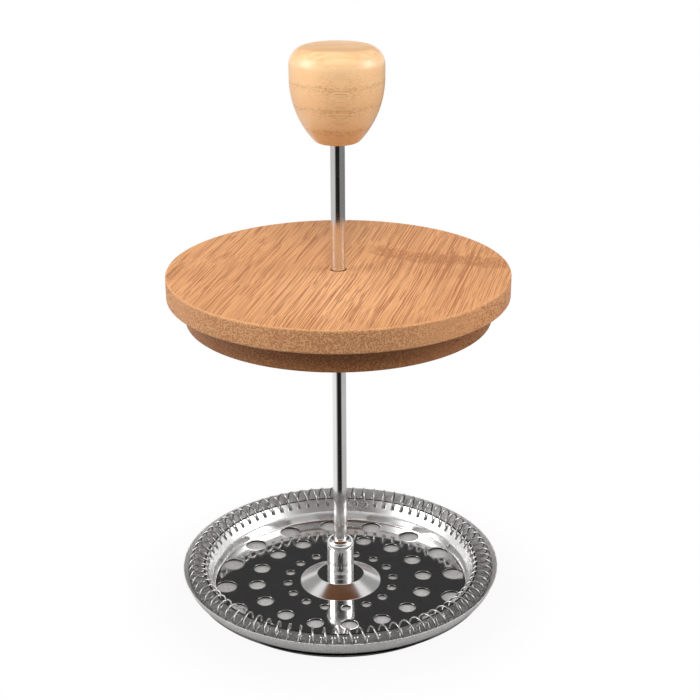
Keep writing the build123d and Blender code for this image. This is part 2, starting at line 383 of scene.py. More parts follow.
def cut_across(normal, bearing, low, high):
    """How squarely the surface cuts the fibres: |normal . fibre direction|, from low to high."""
    direction = (cos(bearing), sin(bearing), 0.0)
    square = vector_calc("DOT_PRODUCT", {0: normal, 1: direction}, "Value")
    return between(unsigned(square), low, high)


def new_group(name, inputs, outputs):
    """An empty node group with named sockets: the group, its input sockets and its output node."""
    group = bpy.data.node_groups.new(name, "ShaderNodeTree")
    group.interface.new_socket("Vector", in_out="INPUT", socket_type="NodeSocketVector")
    for socket, default in inputs.items():
        made = group.interface.new_socket(socket, in_out="INPUT", socket_type="NodeSocketFloat")
        made.default_value = default
    for socket in outputs:
        group.interface.new_socket(socket, in_out="OUTPUT", socket_type="NodeSocketFloat")
    given, result = group.nodes.new("NodeGroupInput"), group.nodes.new("NodeGroupOutput")
    return group, given.outputs, result


def bamboo_fibres():
    """Fibres of split bamboo about the X axis of the given vector, in millimetres.

    Streaks: noise drawn out along X and cut to its dark crests. Hairs: the same, finer. Pores: round cells
    across X where the fibres are cut. Tone: slow change along and across.
    """
    if "bamboo_fibres" in bpy.data.node_groups:
        return bpy.data.node_groups["bamboo_fibres"]
    outputs = ("Streaks", "Hairs", "Pores", "Tone")
    group, given, result = new_group("bamboo_fibres", {"Density": 0.5, "Spread": 1.0}, outputs)
    bent = add("TexNoise", {"Vector": given["Vector"], "Scale": 0.03, "Detail": 1.0})
    sway = vector_calc("SUBTRACT", {0: bent.outputs["Color"], 1: (0.5, 0.5, 0.5)})
    sway = vector_calc("MULTIPLY", {0: sway, 1: (0.0, 1.6, 1.6)})
    swayed = vector_calc("ADD", {0: given["Vector"], 1: sway})
    vector = vector_calc("SCALE", {0: swayed, 3: given["Spread"]})
    coarse = noise(vector, (0.022, 3.0, 3.0))
    crest = scaled(given["Density"], -0.2, 0.65)
    fine = noise(vector, (0.03, 5.2, 5.2), 1.0, 0.5, 7.3)
    flat = add("Mapping", {"Vector": vector, "Scale": (0.02, 1.7, 1.7)})
    cells = add("TexVoronoi", {"Vector": flat.outputs[0], "Scale": 1.0, "Randomness": 0.8})
    tone = noise(vector, (0.009, 0.16, 0.16), 3.0, 0.6, 3.1)
    masks = {
        "Streaks": between(coarse, crest, plus(crest, 0.05)),
        "Hairs": between(fine, 0.48, 0.62),
        "Pores": between(cells.outputs["Distance"], 0.5, 0.22),
        "Tone": between(tone, 0.34, 0.66, smooth=False),
    }
    feed(result, masks)
    return group


def steel_polish():
    """Polish marks on steel, from a vector in millimetres.

    Smudge: slow cloudy noise of handling. Lines: fine noise drawn out round the Z axis by turning or rolling.
    Roughness: the given value raised by both.
    """
    if "steel_polish" in bpy.data.node_groups:
        return bpy.data.node_groups["steel_polish"]
    inputs = {"Roughness": 0.1, "Wear": 0.05, "Line Gap": 3.0}
    group, given, result = new_group("steel_polish", inputs, ("Roughness", "Lines", "Smudge"))
    cloud = noise(given["Vector"], (0.11, 0.11, 0.11), 3.0, 0.6, 1.7)
    smudge = between(cloud, 0.42, 0.75)
    x, y, z = parts(given["Vector"])
    drawn = {0: times(x, 0.25), 1: times(y, 0.25), 2: times(z, given["Line Gap"])}
    along = add("CombineXYZ", drawn).outputs[0]
    lines = add("TexNoise", {"Vector": along, "Scale": 1.0, "Detail": 2.0}).outputs["Fac"]
    raised = scaled(smudge, given["Wear"], given["Roughness"])
    raised = scaled(lines, times(given["Wear"], 0.4), raised)
    feed(result, {"Roughness": raised, "Lines": lines, "Smudge": smudge})
    return group


def new_material(name):
    """A material with an empty Principled shader; returns the material, its tree and the shader."""
    material = bpy.data.materials.new(name)
    material.use_nodes = True
    return material, material.node_tree, material.node_tree.nodes["Principled BSDF"]


def lid_bamboo(wood):
    """Flat-laid bamboo strips with dark fibres, one band of culm nodes and pored end grain, with painted
    highlights on the top and its rim and painted shade on the plug.
    """
    strip_width, first_strip = 21.0, 0.37
    highlight_spot, highlight_edge, highlight_core = (-22.0, -5.0, 109.0), 34.0, 6.0
    band_place, band_edge, band_core = 16.0, 6.0, 3.2
    curl_start, curl_rate, band_wander = 28.0, -0.011, 9.0
    edge_highlight_reach, painted_rim_level, plug_shade_level = (51.3, 51.7), (108.1, 108.6), (101.9, 101.6)
    material, tree, shader = new_material("lid_bamboo_finish")
    vector, normal = object_millimetres(tree, wood.fibre_bearing)
    along, across, level = parts(vector)
    fibres = use_group(bamboo_fibres(), {"Vector": vector, "Density": 0.66, "Spread": 1.0})
    ends = cut_across(normal, wood.fibre_bearing, 0.45, 0.93)
    lying = minus(1.0, ends)

    # Tone of each strip, a painted highlight patch on the front of the top, and the end grain.
    strip = calc("FLOOR", scaled(across, 1 / strip_width, first_strip))
    tone = scaled(chance(strip), 0.25, times(fibres["Tone"], 0.75))
    base = mix(tone, wood.lid_colour, wood.lid_pale)
    # Painted highlight: a round pale patch on the top, fading out towards its edge.
    off_highlight = vector_calc("DISTANCE", {0: vector, 1: highlight_spot}, "Value")
    clear = between(off_highlight, highlight_edge, highlight_core, 0.0, 0.7)
    base = mix(clear, base, wood.lid_highlight)
    base = mix(ends, base, wood.lid_end)

    # Band of culm nodes across the fibres of the top face: a wandering line that curls back on one side.
    wander = noise(vector, (0.25, 0.55, 0.55), 3.0, 0.7, 5.5)
    curl = most(plus(across, curl_start), 0.0)
    line = scaled(times(curl, curl), curl_rate, along)
    line = scaled(minus(wander, 0.5), band_wander, line)
    band = between(unsigned(minus(line, band_place)), band_edge, band_core)
    side = between(across, -2.0, -9.0)
    upward = between(parts(normal)[2], 0.4, 0.8)
    band = times(band, side, upward)
    speck = noise(vector, (0.4, 1.9, 1.9), 3.0, 0.6, 9.1)
    mottle = times(band, between(speck, 0.42, 0.62))

    # Dark fibres: streaks and hairs where they lie, pores and speckles where they are cut.
    patchy = noise(vector, (0.02, 0.3, 0.3), 2.0, 0.5, 8.2)
    streak = times(fibres["Streaks"], lying, between(patchy, 0.36, 0.62, 0.5, 1.0))
    hair = times(fibres["Hairs"], lying, 0.42)
    open_grain = noise(vector, (0.02, 0.12, 0.25), 2.0, 0.5, 6.4)
    pore = times(fibres["Pores"], between(open_grain, 0.3, 0.65, 0.7, 1.0), ends)
    speckle = noise(vector, (0.3, 2.0, 2.0), 1.0, 0.6, 2.9)
    speckle = times(between(speckle, 0.46, 0.56), times(ends, 0.85))
    dark = most(streak, pore, times(mottle, 0.6), speckle)
    dark = plus(dark, hair, clamp=True)
    dark = plus(dark, times(band, 0.26), clamp=True)
    pale = times(band, between(speck, 0.45, 0.36, 0.0, 0.6))
    base = mix(pale, base, wood.lid_pale)
    shade = mix(times(dark, 0.94), base, wood.lid_dark)

    # Painted light: a painted highlight along the top rim's rounded edge, and painted shade on the plug below
    # the lid.
    rim = times(between(off_axis(vector), *edge_highlight_reach), between(level, *painted_rim_level))
    rim_highlight = times(rim, between(speck, 0.4, 0.6, 0.15, 0.6))
    shade = mix(rim_highlight, shade, wood.lid_pale)
    # Painted shade: below the lid's underside the plug's colour is multiplied darker.
    painted_shade = mix(between(level, *plug_shade_level), (1.0, 1.0, 1.0), wood.lid_plug_shade)
    finish = {
        "Base Color": vector_calc("MULTIPLY", {0: shade, 1: painted_shade}),
        "Roughness": scaled(dark, 0.16, scaled(fibres["Tone"], 0.08, 0.40)),
        "Normal": bump(times(dark, -1.0), 0.09, 0.7),
        "Specular IOR Level": 0.35,
    }
    feed(shader, finish)
    return material


def knob_bamboo(wood, foot):
    """Turned bamboo plies laid flat, lacquered, with glue lines and fibres crowded below each of them."""
    bearing, first_seam, ply_height, ply_ripple = radians(4), foot + 5.1, 6.6, 1.9
    painted_foot_shade, crown_level = (foot + 5.6, foot + 4.2), (foot + 25.2, foot + 26.4)
    clear_top = (foot + 20.5, foot + 23.0)
    material, tree, shader = new_material("knob_bamboo_finish")
    vector, normal = object_millimetres(tree, bearing)
    ripple = noise(vector, (0.05, 0.16, 0.05), 2.0, 0.6, 2.2)
    level = scaled(minus(ripple, 0.5), ply_ripple, parts(vector)[2])
    ply = times(minus(level, first_seam), 1 / ply_height)
    depth = calc("FRACT", plus(ply, 3.0))
    fibres = use_group(bamboo_fibres(), {"Vector": vector, "Density": 0.66, "Spread": 1.1})
    ends = cut_across(normal, bearing, 0.2, 0.75)

    # Tone of each ply, painted shade towards the foot, and a flamed crown.
    tone = scaled(chance(calc("FLOOR", ply)), 0.3, times(fibres["Tone"], 0.7))
    base = mix(tone, wood.knob_colour, wood.knob_pale)
    # Painted shade: up to a tenth darker towards the foot.
    base = mix(between(level, *painted_foot_shade, 0.0, 0.1), base, wood.knob_dark)
    crown = between(level, *crown_level)
    flame = noise(vector, (0.07, 0.75, 0.75), 2.0, 0.5, 1.3)
    flame = times(crown, between(flame, 0.4, 0.62, 0.04, 0.42))
    base = mix(flame, base, wood.lid_colour)

    # Dark fibres, crowded under the seams, and the broken seams with dots beside them.
    streak = times(fibres["Streaks"], minus(1.0, ends))
    pore = times(fibres["Pores"], ends, 0.62)
    dark = times(most(streak, pore), between(depth, 0.5, 0.96, 0.3, 1.0))
    dark = scaled(fibres["Hairs"], 0.2, dark)
    off_seam = least(depth, minus(1.0, depth))
    broken = noise(vector, (0.5, 0.5, 0.2), 2.0, 0.6, 4.7)
    seam = times(between(off_seam, 0.055, 0.01), between(broken, 0.42, 0.62, 0.06, 0.6))
    dots = noise(vector, (1.5, 1.5, 2.2), 2.0, 0.6, 6.6)
    beside = times(between(off_seam, 0.16, 0.06), 0.75)
    dots = times(between(dots, 0.5, 0.6), beside)
    dark = most(dark, most(seam, dots), clamp=True)
    dark = times(dark, between(level, *clear_top, 1.0, 0.3))
    finish = {
        "Base Color": mix(times(dark, 0.7), base, wood.knob_dark),
        "Roughness": scaled(dark, 0.1, 0.34),
        "Normal": bump(times(dark, -1.0), 0.03, 0.5),
        "Coat Weight": 0.35,
        "Coat Roughness": 0.22,
    }
    feed(shader, finish)
    return material


def steel(name, tint, roughness, wear, line_gap, relief, edges=None):
    """Metal with turning or rolling lines and handling smudges.

    The relief is the lines' height in millimetres. edges(vector, normal, shade, rough) may paint shade
    and change the roughness where the sheet is cut.
    """
    material, tree, shader = new_material(name)
    vector, normal = object_millimetres(tree)
    inputs = {"Vector": vector, "Roughness": roughness, "Wear": wear, "Line Gap": line_gap}
    marks = use_group(steel_polish(), inputs)
    smudged = [part * 0.72 for part in tint]
    shade = mix(times(marks["Smudge"], 0.18), tint, smudged)
    rough = marks["Roughness"]
    if edges:
        shade, rough = edges(vector, normal, shade, rough)
    finish = {
        "Base Color": shade,
        "Roughness": rough,
        "Normal": bump(marks["Lines"], relief),
        "Metallic": 1.0,
    }
    feed(shader, finish)
    return material


def punched_edges_painted_shade(vector, normal, shade, rough):
    """Painted shade on the spiral plate: its punched hole walls and its rim are painted near black and made
    dull; its raised parts are satin.
    """
    hole_level, painted_rim_level, wall_level = (1.8, 1.65), (8.7, 8.85), (1.75, 2.6)
    dome_foot, dome_top, wall_reach = (13.6, 12.6), (7.0, 8.0), (30.0, 35.0)
    level, reach = parts(vector)[2], off_axis(vector)
    upright = between(unsigned(parts(normal)[2]), 0.55, 0.3)
    # Painted shade: the upright walls of the holes and the rim are painted near black and made rougher.
    cut = times(upright, between(level, *hole_level))
    cut = most(cut, between(level, *painted_rim_level))
    flank = times(between(reach, *dome_foot), between(reach, *dome_top))
    wall = times(between(level, *wall_level), between(reach, *wall_reach, 0.0, 0.75))
    rough = scaled(scaled(flank, 0.4, wall), 0.27, rough)
    return mix(cut, shade, (0.03, 0.029, 0.028)), scaled(cut, 0.35, rough)


def sheared_edge_painted_shade(vector, normal, shade, rough):
    """The cross plate's sheared edge, the faces at the rim that don't look straight down, gets painted shade:
    near black.
    """
    painted_rim_level = (0.9, 1.6)
    rim = between(parts(vector)[2], *painted_rim_level)
    cut = times(between(parts(normal)[2], -0.9, -0.5), rim)
    return mix(cut, shade, (0.02, 0.02, 0.02)), rough


def woven_mesh(metal):
    """Fine plain weave on the sheet's own flat pattern: height = sin(pi u / pitch) * sin(pi v / pitch)."""
    material, tree, shader = new_material("mesh_steel_finish")
    flat = add("UVMap", {}, tree, uv_map="weave").outputs[0]
    turns = pi * MM / metal.mesh_pitch
    u, v, _ = parts(flat)
    height = times(calc("SINE", times(u, turns)), calc("SINE", times(v, turns)))
    wires = between(unsigned(height), 0.03, 0.5)
    cloud = noise(flat, (0.16, 0.16, 0.16), 3.0, 0.6, 4.4)
    grain = noise(flat, (2.1, 2.1, 2.1), 2.0, 0.6, 1.4)
    lit = times(wires, between(cloud, 0.3, 0.7, 0.8, 1.0), between(grain, 0.35, 0.65, 0.6, 1.0))
    finish = {
        "Base Color": mix(lit, (0.3, 0.296, 0.292), metal.mesh_colour),
        "Roughness": scaled(wires, -0.12, 0.52),
        "Normal": bump(height, 0.05, 0.7),
        "Metallic": 0.15,
    }
    feed(shader, finish)
    return material


# Pieces


class PRESS_OT_lid(bpy.types.Operator):
    """Bamboo lid: a disc and the plug glued into its underside"""

    bl_idname = "french_press.lid"
    bl_label = "Lid"

    def execute(self, context):
        wood = context.scene.press_wood
        finish = lid_bamboo(wood)
        running_gap, seat_gap, glue, sides = 0.3, 0.05, 0.01, 288
        bore = node_radius("plunger_rod") + running_gap
        edge = wood.lid_edge / MM
        foot, top = node_levels("lid_disc")
        radius = node_radius("lid_disc")
        plug_foot, seat_level = node_levels("lid_plug")
        plug_radius = node_radius("lid_plug")
        seat = plug_radius + seat_gap
        disc = [
            (bore, seat_level, 0.1),
            (seat, seat_level, 0.05),
            (seat, foot, 0.1),
            (radius, foot, edge),
            (radius, top, edge),
            (bore, top, 0.35),
        ]
        turned_piece("lid_board", disc, sides, "lid", "lid_bamboo", finish, "lid_disc")
        plug_top = seat_level - glue
        plug = [
            (bore, plug_foot, 0.3),
            (plug_radius, plug_foot, edge),
            (plug_radius, plug_top, 0.1),
            (bore, plug_top, 0.1),
        ]
        turned_piece("lid_plug_board", plug, sides, "lid", "lid_bamboo", finish, "lid_plug")
        return {"FINISHED"}


class PRESS_OT_knob(bpy.types.Operator):
    """Bamboo knob: a bulb whose side is an arc that ends upright at its widest level"""

    bl_idname = "french_press.knob"
    bl_label = "Knob"

    def execute(self, context):
        wood = context.scene.press_wood
        foot, top = node_levels("knob")
        foot_round, foot_rise, crown_start, crown_end = 1.6, 1.4, 1.2, 0.6
        side_steps, crown_steps, sides = 26, 12, 192
        socket_gap, end_gap, flange_depth, flange_width = 0.05, 0.3, 1.0, 1.0
        side_height, crown_rise = wood.knob_side / MM, wood.knob_crown_rise / MM
        top_round = wood.knob_top_round / MM
        widest, narrow = node_radius("knob"), wood.knob_foot_width / MM / 2
        waist = foot + side_height
        swell = widest - narrow
        arc = (swell**2 + side_height**2) / (2 * swell)

        # Side: reach = widest - arc + sqrt(arc ** 2 - (level - waist) ** 2), upright at the waist.
        # Crown: level = top - rise * (reach / widest) ** 2.
        rise = np.linspace(foot + foot_rise, waist, side_steps)
        side = np.stack([widest - arc + np.sqrt(arc**2 - (rise - waist) ** 2), rise, 0 * rise], axis=1)
        across = np.linspace(widest - top_round - crown_start, crown_end, crown_steps)
        crown = np.stack([across, top - crown_rise * (across / widest) ** 2, 0 * across], axis=1)

        # The socket takes the threaded insert and its flange.
        socket = node_radius("knob_insert") + socket_gap
        bore = socket - flange_width
        deep = node_levels("knob_insert")[1] + end_gap
        corners = [
            (0.0, deep, 0.0),
            (bore, deep, 0.0),
            (bore, foot + flange_depth, 0.0),
            (socket, foot + flange_depth, 0.0),
            (socket, foot, 0.12),
            (narrow, foot, foot_round),
            *side,
            (widest, top - crown_rise, top_round),
            *crown,
            (0.0, top, 0.0),
        ]
        finish = knob_bamboo(wood, foot)
        outline = {"closed": False, "arc_steps": 12, "hold": 0.0}
        turned_piece("knob_bulb", corners, sides, "plunger", "knob_bamboo", finish, "knob", **outline)
        return {"FINISHED"}


class PRESS_OT_rod(bpy.types.Operator):
    """Polished rod with its turned stop collar and washer"""

    bl_idname = "french_press.rod"
    bl_label = "Rod and collar"

    def execute(self, context):
        metal = context.scene.press_steel
        marks = {"roughness": 0.075, "wear": 0.06, "line_gap": 2.6, "relief": 0.0016}
        polish = steel("polished_steel_finish", metal.rod_colour, **marks)
        on_plunger = ("plunger", "polished_steel", polish)
        low, high = node_levels("plunger_rod")
        radius, thread, fit = node_radius("plunger_rod"), 2.0, 0.02
        foot, washer_top = node_levels("collar_washer")
        head = node_levels("knob_insert")[0]
        rod = [
            (0.0, low, 0.0),
            (thread, low, 0.3),
            (thread, foot, 0.05),
            (radius, foot, 0.05),
            (radius, head, 0.05),
            (thread, head, 0.05),
            (thread, high, 0.3),
            (0.0, high, 0.0),
        ]
        turned_piece("rod_bar", rod, 96, *on_plunger, "plunger_rod", closed=False)
        bore = radius + fit
        collar_foot, collar_top = node_levels("rod_collar")
        barrel, bead = node_radius("collar_washer"), node_radius("rod_collar")
        bead_height, bead_round, groove, sides = 2.7, 2.05, 0.5, 144
        bead_foot = collar_top - bead_height
        collar = [
            (bore, collar_foot, 0.05),
            (barrel, collar_foot, 0.15),
            (barrel, bead_foot - groove, 0.2),
            (barrel - groove, bead_foot - groove, 0.12),
            (barrel - groove, bead_foot, 0.12),
            (bead, bead_foot, 0.45),
            (bead, collar_top, bead_round),
            (bore, collar_top, 0.15),
        ]
        turned_piece("collar_turned", collar, sides, *on_plunger, "rod_collar")
        washer = [
            (bore, foot, 0.1),
            (barrel, foot, 0.25),
            (barrel, washer_top, 0.15),
            (bore, washer_top, 0.1),
        ]
        turned_piece("washer_ring", washer, sides, *on_plunger, "collar_washer")
        return {"FINISHED"}


def holed_cell(border, edge, half, lead):
    """One cell of a punched sheet, as rows from its border over one face, through the hole and back.

    The border and the hole's edge are matching points about the hole's centre. Flat rows are
    edge + (border - edge) * share; the edge is rounded by a quarter circle of the given lead on both faces.
    """
    outward = unit(edge)
    turn = np.linspace(0, pi / 2, 4)
    grown = edge + outward * lead
    share = np.array([1.0, 0.5, 0.16])[:, None, None]
    face = grown + (border - grown) * share
    rounding = edge + outward * (lead * (1 - np.sin(turn)))[:, None, None]
    upper = np.concatenate([face, rounding])
    level = np.concatenate([np.full(len(share), half), half - lead * (1 - np.cos(turn))])
    rows = np.concatenate([upper, upper[::-1]])
    levels = np.concatenate([level, -level[::-1]])
    return rows, np.broadcast_to(levels[:, None], rows.shape[:2])


def cell_border(low_x, high_x, low_y, high_y, steps_x, steps_y):
    """Points once round a rectangle in two parameters, anticlockwise from its low corner."""
    across = np.linspace(low_x, high_x, steps_x + 1)
    up = np.linspace(low_y, high_y, steps_y + 1)
    x = np.concatenate([across[:-1], np.full(steps_y, high_x), across[:0:-1], np.full(steps_y, low_x)])
    y = np.concatenate([np.full(steps_x, low_y), up[:-1], np.full(steps_x, high_y), up[:0:-1]])
    return x, y


class PRESS_OT_plate(bpy.types.Operator):
    """Spiral plate: raised centre, rings of holes, an upright wall and a flare with the coils' windows"""

    bl_idname = "french_press.plate"
    bl_label = "Spiral plate"

    def execute(self, context):
        metal = context.scene.press_steel
        half, lead = 0.3, metal.hole_edge / MM
        floor = node_levels("spiral_plate")[0] + half
        coils = metal.coil_count
        grids = []

        # The wall stands on the floor's bend and the flare on the wall: each one's rise, run and bend radius.
        wall_foot, wall_height, wall_run, wall_bend = 41.425, 3.4, 0.1, 0.8
        flare_height, flare_run, flare_bend = 4.25, 2.85, 2.0
        lean, flare_lean = atan2(wall_run, wall_height), atan2(flare_run, flare_height)
        flare = hypot(flare_height, flare_run)
        bend_start = wall_foot - wall_bend * tan((pi / 2 - lean) / 2)

        # Rings of holes: near and far border, circle of the holes' centres and radius of a hole.
        sides, holes, first_hole, ring_steps = 240, 16, radians(6.0), 12
        half_cell = pi / holes
        start = first_hole - half_cell
        bearings = first_hole + np.arange(holes) * 2 * half_cell
        dome_rim, first_border, second_border, floor_rim = 14.2, 21.7, 32.0, 40.95
        inner, outer, ease = 17.3, 37.375, 0.01
        rings = [
            (dome_rim, first_border, inner, 1.55),
            (first_border, second_border, (inner + outer) / 2, 2.725),
            (second_border, floor_rim, outer, 3.45),
        ]

        def face_level(reach, side):
            """Level of a face of the floor: flat, then an arc about a point one bend radius above it."""
            arc = wall_bend - side
            out = np.clip(reach - bend_start, 0, None)
            return floor + wall_bend - np.sqrt(arc**2 - out**2)

        for near, far, centre, radius in rings:
            bearing, reach = cell_border(-half_cell, half_cell, near, far, sides // holes, ring_steps)
            border = np.stack([reach * np.cos(bearing) - centre, reach * np.sin(bearing)], axis=1)
            rows, levels = holed_cell(border, unit(border) * (radius - lead + ease), half, lead)
            x, y = rows[..., 0] + centre, rows[..., 1]
            away = np.hypot(x, y)
            low, high = face_level(away, -half), face_level(away, half)
            level = low + (high - low) * (levels / half + 1) / 2
            grids.append(turned(np.stack([x, y, level], axis=-1), bearings))

        # Raised centre, from the first ring of holes up to the rod.
        dome_height, dome_foot, dome_top, bore_flat, bore = 2.7, 13.0, 7.45, 2.5, 2.17
        top = floor + dome_height
        dome = rounded_outline(
            [
                (dome_rim, floor, 0.0),
                (dome_foot, floor, 1.6),
                (dome_top, top, 1.4),
                (bore_flat, top, 0.0),
                (bore, top, 0.0),
            ],
            arc_steps=12,
        )
        upper, lower = sheet_sides(dome, -half)
        grids.append(lathe(np.concatenate([upper, lower[::-1]]), sides, start))

        # Bend at the wall's foot, each face an arc about the bend's centre, and the wall. Over the bend the
        # columns shift from the holes' bearings to the windows'.
        step, bend_steps, window_phase = 2 * pi / sides, 13, radians(202.808)
        first_window = pi / 2 - window_phase / coils
        shift = (first_window - pi / coils - start + step / 2) % step - step / 2
        around = start + once_round(sides) + shift * np.linspace(0, 1, bend_steps)[:, None]
        for side in (half, -half):
            arc = wall_bend - side
            turn = np.linspace(np.arcsin((floor_rim - bend_start) / arc), pi / 2 - lean, bend_steps)[:, None]
            reach, level = bend_start + arc * np.sin(turn), floor + wall_bend - arc * np.cos(turn)
            grids.append(polar(around, reach, level))
        corner_reach, corner_level, cell_start = wall_foot + wall_run, floor + wall_height, 0.75
        cell_reach = corner_reach + cell_start * sin(flare_lean)
        cell_level = corner_level + cell_start * cos(flare_lean)
        upright = rounded_outline(
            [
                (bend_start + wall_bend * cos(lean), floor + wall_bend - wall_bend * sin(lean), 0.0),
                (corner_reach, corner_level, flare_bend),
                (cell_reach, cell_level, 0.0),
            ],
            hold=0.1,
        )
        for face in sheet_sides(upright, half):
            grids.append(polar(around[-1:], face[:, :1], face[:, 1:]))

        def on_flare(bearing, along, out):
            """Point of the flare: bearing round the rod, distance up its slope and out of its middle."""
            reach = corner_reach + along * sin(flare_lean) + out * cos(flare_lean)
            level = corner_level + along * cos(flare_lean) - out * sin(flare_lean)
            return polar(bearing, reach, level)

        # Windows, |across / width| ** power + |along / height| ** power = 1, and the rim, half a circle over
        # the sheet's edge.
        window_up, window_reach = 3.1284, 43.2674
        width, height, power, window_steps = 0.625, 0.925, 5.0, 10
        spread = window_reach * pi / coils
        low, high = cell_start - window_up, flare - half - window_up
        border = np.stack(cell_border(-spread, spread, low, high, sides // coils, window_steps), axis=1)
        way = unit(border)
        size = (np.abs(way[:, 0] / width) ** power + np.abs(way[:, 1] / height) ** power) ** (-1 / power)
        rows, levels = holed_cell(border, way * size[:, None], half, lead)
        cell = on_flare(rows[..., 0] / window_reach, rows[..., 1] + window_up, levels)
        windows = first_window + np.arange(coils) * 2 * pi / coils
        grids.append(turned(cell, windows))
        roll = np.linspace(0, pi, 9)[:, None]
        around = first_window - pi / coils + once_round(sides)
        grids.append(on_flare(around, flare - half + half * np.sin(roll), half * np.cos(roll)))
        patches = [patch(grid, False, True) for grid in grids]
        marks = {"roughness": 0.055, "wear": 0.07, "line_gap": 2.4, "relief": 0.003}
        finish = steel("mirror_steel_finish", metal.plate_colour, **marks, edges=punched_edges_painted_shade)
        make_piece("spiral_disc", patches, "plunger", "mirror_steel", finish, "spiral_plate")
        return {"FINISHED"}


class PRESS_OT_spring(bpy.types.Operator):
    """Coil spring: one wire wound round a ring and sewn through the plate's windows"""

    bl_idname = "french_press.spring"
    bl_label = "Coil spring"

    def execute(self, context):
        metal = context.scene.press_steel
        marks = {"roughness": 0.13, "wear": 0.08, "line_gap": 1.5, "relief": 0.0012}
        finish = steel("spring_wire_finish", metal.wire_colour, **marks)
        coil, coils, wire_radius = metal.coil_radius / MM, metal.coil_count, metal.wire_diameter / MM / 2
        ring, level, gap_turns, turn_steps, wire_sides = 46.125, 8.5, 0.5, 36, 10
        turns, overrun = coils - gap_turns, 2 * wire_radius

        # Path (reach cos b, reach sin b, level + coil sin a), with reach = ring + coil cos a and
        # b = pi / 2 - a / coils.
        angle = -np.linspace(0, 2 * pi * turns, int(turns * turn_steps) + 1)
        bearing = pi / 2 - angle / coils
        out_share, up_share = np.cos(angle)[:, None], np.sin(angle)[:, None]
        reach = ring + coil * out_share
        spoke = polar(bearing, 1.0, 0.0)
        round_ring = np.stack([-np.sin(bearing), np.cos(bearing), 0 * bearing], axis=1)
        upright = np.array([0.0, 0.0, 1.0])
        path = spoke * reach + upright * (level + coil * up_share)
        climb = coils * coil
        along = unit(spoke * (climb * up_share) + round_ring * reach - upright * (climb * out_share))

        # Wire: a circle across the path, with both ends carried on by the wire's diameter and closed.
        out = spoke * out_share + upright * up_share
        out = unit(out - along * (out * along).sum(axis=1, keepdims=True))
        side = np.cross(along, out)
        path = np.concatenate([path[:1] - along[:1] * overrun, path, path[-1:] + along[-1:] * overrun])
        out, side = [np.concatenate([one[:1], one, one[-1:]])[:, None, :] for one in (out, side)]
        around = once_round(wire_sides)[None, :, None]
        tube = path[:, None, :] + wire_radius * (out * np.cos(around) + side * np.sin(around))
        tip, end = [np.broadcast_to(path[one], (1, wire_sides, 3)) for one in (0, -1)]
        wire = patch(np.concatenate([tip, tube, end]), False, True)
        make_piece("spring_coil", [wire], "plunger", "spring_wire", finish, "coil_spring")
        return {"FINISHED"}


class PRESS_OT_mesh(bpy.types.Operator):
    """Woven filter: a flat sheet drawn into a dish with an upright skirt"""

    bl_idname = "french_press.mesh"
    bl_label = "Filter mesh"

    def execute(self, context):
        metal = context.scene.press_steel
        half, bore, floor_reach, floor_steps, sides = 0.15, 5.6, 42.625, 12, 256
        foot, rim = node_levels("filter_mesh")
        floor = foot + half
        skirt, skirt_height, skirt_run, rim_run = node_radius("filter_mesh") - half, 3.4, 1.4, 0.05

        # Middle line of the sheet, its two faces, and a lip of half a circle over the rim.
        line = rounded_outline(
            [
                (bore, floor, 0.0),
                (floor_reach, floor, 1.2),
                (skirt - skirt_run, rim - skirt_height, 5.0),
                (skirt - rim_run, rim - half, 0.0),
            ],
            arc_steps=8,
            hold=0.3,
        )
        flat = np.stack([np.linspace(bore, line[1, 0], floor_steps), np.full(floor_steps, floor)], axis=1)
        line = np.concatenate([flat[:-1], line[1:]])
        inside, outside = sheet_sides(line, half)
        roll = np.linspace(0, pi, 7)[1:-1]
        lip = line[-1] + half * np.stack([-np.cos(roll), np.sin(roll)], axis=1)
        section = np.concatenate([inside, lip, outside[::-1]])

        # The weave's own coordinates: the drawn length along the sheet, laid out flat round the middle.
        drawn = np.cumsum(np.linalg.norm(np.diff(line, axis=0), axis=1))
        drawn = bore + np.concatenate([[0.0], drawn])
        drawn = np.concatenate([drawn, np.full(len(lip), drawn[-1]), drawn[::-1]])[:, None]
        uv = polar(once_round(sides), drawn, 0.0)[..., :2]
        dish = patch(lathe(section, sides), True, True, uv)
        make_piece("mesh_dish", [dish], "plunger", "mesh_steel", woven_mesh(metal), "filter_mesh")
        return {"FINISHED"}


class PRESS_OT_fittings(bpy.types.Operator):
    """Finishes of the cross plate, hub nut and threaded insert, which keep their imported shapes"""

    bl_idname = "french_press.fittings"
    bl_label = "Fittings"

    def execute(self, context):
        metal = context.scene.press_steel
        # Roughness, wear, line gap and relief of each finish.
        rolled, machined = (0.10, 0.10, 1.4, 0.0015), (0.22, 0.12, 3.2, 0.004)
        brass = (0.25, 0.12, 3.2, 0.004)
        finishes = {
            "cross_plate": steel("cross_steel_finish", metal.plate_colour, *rolled, sheared_edge_painted_shade),
            "hub_nut": steel("nut_steel_finish", metal.rod_colour, *machined),
            "knob_insert": steel("brass_finish", metal.brass_colour, *brass),
        }
        for node, material in finishes.items():
            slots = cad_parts[node].data.materials
            slots.clear()
            slots.append(material)
        return {"FINISHED"}


# Stage


def stage_sheet(name, points, material):
    """A sheet of the stage from a grid of points in metres."""
    flat, quads, _ = patch(points)
    mesh = bpy.data.meshes.new(name)
    mesh.from_pydata(flat.tolist(), [], quads.tolist())
    mesh.materials.append(material)
    sheet = bpy.data.objects.new(name, mesh)
    bpy.context.scene.collection.objects.link(sheet)
    return sheet


def surface_mix(share, first, second):
    """Show the first shader mixed with the second by a share."""
    blend = add("MixShader", {0: share, 1: first.outputs[0], 2: second.outputs[0]})
    feed(blend.id_data.nodes["Material Output"], {"Surface": blend.outputs[0]})


